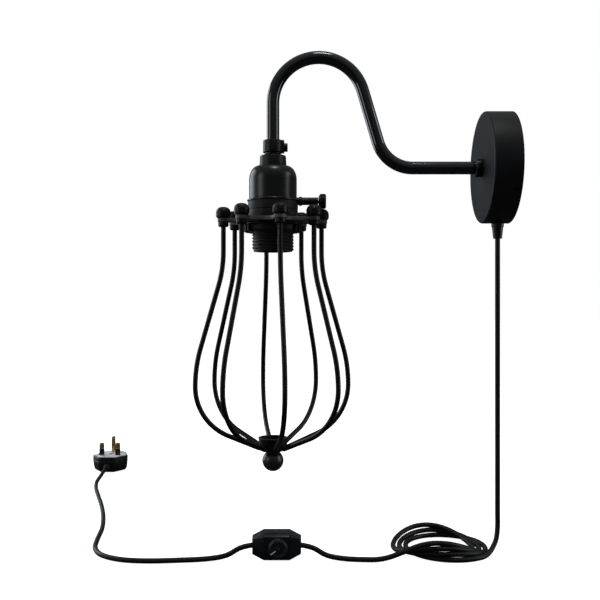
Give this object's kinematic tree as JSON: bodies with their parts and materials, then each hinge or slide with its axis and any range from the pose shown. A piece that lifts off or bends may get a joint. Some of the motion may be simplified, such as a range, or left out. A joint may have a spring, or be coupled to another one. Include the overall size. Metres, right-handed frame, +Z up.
{
  "type": "plug-in swan neck wall sconce with wire cage",
  "caption": "Wall lamp: a round rose carries a bent tube arm that turns, a keyed screw lampholder and a wire cage, on a mains lead with inline dimmer and fused plug.",
  "frame": {"origin": "centre of the wall plate's back face, on the wall", "axes": "+X out of the plate's back, into the wall, so the arm leaves along -X; +Z up; +Y sideways, away from the viewer of the main view"},
  "size_m": [0.486, 0.4717, 0.4719],
  "materials": {
    "zinc_steel": "satin",
    "satin_black": "satin",
    "gloss_black": "gloss",
    "brass_bush": "satin",
    "black_plastic": "satin",
    "charcoal_metal": "matt",
    "bronze_black": "satin",
    "porcelain": "glazed",
    "cord_pvc": "satin",
    "circuit": "matt",
    "white_card": "matt"
  },
  "bodies": {
    "rose": {"wall_plate": "zinc_steel", "rose_cup": "satin_black", "rose_screws": "zinc_steel", "rose_bush": "brass_bush", "stop_pin": "zinc_steel", "terminal_block": "black_plastic", "cable_gland": "black_plastic", "gland_nut": "zinc_steel", "supply_lead": "cord_pvc", "cord_drop": "cord_pvc", "cord_coil": "cord_pvc", "cord_lead": "cord_pvc", "cord_tail": "cord_pvc", "dimmer_base": "black_plastic", "dimmer_lid": "black_plastic", "dimmer_pot": "circuit", "dimmer_board": "circuit", "dimmer_screws": "zinc_steel", "plug_cover": "black_plastic", "plug_base": "black_plastic", "plug_card": "white_card", "plug_pins": "brass_bush", "pin_sleeves": "black_plastic", "plug_fuse": "porcelain", "plug_screw": "zinc_steel", "plug_grommet": "black_plastic"},
    "arm": {"arm_tube": "gloss_black", "arm_boss": "gloss_black", "arm_nipple": "brass_bush", "stop_washer": "zinc_steel", "arm_nut": "zinc_steel", "arm_flex": "cord_pvc", "clamp_collar": "gloss_black", "collar_screw": "gloss_black", "holder_nipple": "zinc_steel", "holder_nut": "zinc_steel"},
    "holder": {"neck_ring": "gloss_black", "holder_dome": "gloss_black", "holder_skirt": "charcoal_metal", "lamp_insert": "porcelain", "screw_shell": "brass_bush", "switch_barrel": "gloss_black", "cage_plate": "bronze_black", "cap_nuts": "bronze_black", "wire_collars": "bronze_black", "shade_ring": "charcoal_metal", "cage_wire_1": "bronze_black", "cage_wire_2": "bronze_black", "cage_wire_3": "bronze_black", "cage_wire_4": "bronze_black", "cage_wire_5": "bronze_black", "cage_wire_6": "bronze_black", "cage_wire_7": "bronze_black", "cage_wire_8": "bronze_black", "cage_hub": "bronze_black", "ball_finial": "bronze_black"},
    "key": {"key_shaft": "zinc_steel", "key_knob": "charcoal_metal"},
    "contact": {"centre_contact": "brass_bush"},
    "dimmer_dial": {"dimmer_knob": "black_plastic"}
  },
  "joints": [
    {"name": "arm_turn", "type": "hinge", "parent": "rose", "child": "arm", "pos_m": [0, 0, 0], "axis": [1, 0, 0], "range_deg": [-90, 90]},
    {"name": "holder_turn", "type": "hinge", "parent": "arm", "child": "holder", "pos_m": [-0.222, 0, 0], "axis": [0, 0, 1], "range_deg": [-150, 150]},
    {"name": "key_turn", "type": "hinge", "parent": "holder", "child": "key", "pos_m": [-0.18, 0, -0.0313], "axis": [1, 0, 0], "continuous": true},
    {"name": "contact_press", "type": "slide", "parent": "holder", "child": "contact", "axis": [0, 0, 1], "range_m": [0, 0.002], "stiffness_N_per_m": 2000, "springref_m": -0.0005},
    {"name": "dimmer_turn", "type": "hinge", "parent": "rose", "child": "dimmer_dial", "pos_m": [-0.2165, -0.0255, -0.349], "axis": [0, 1, 0], "range_deg": [0, 270]}
  ]
}
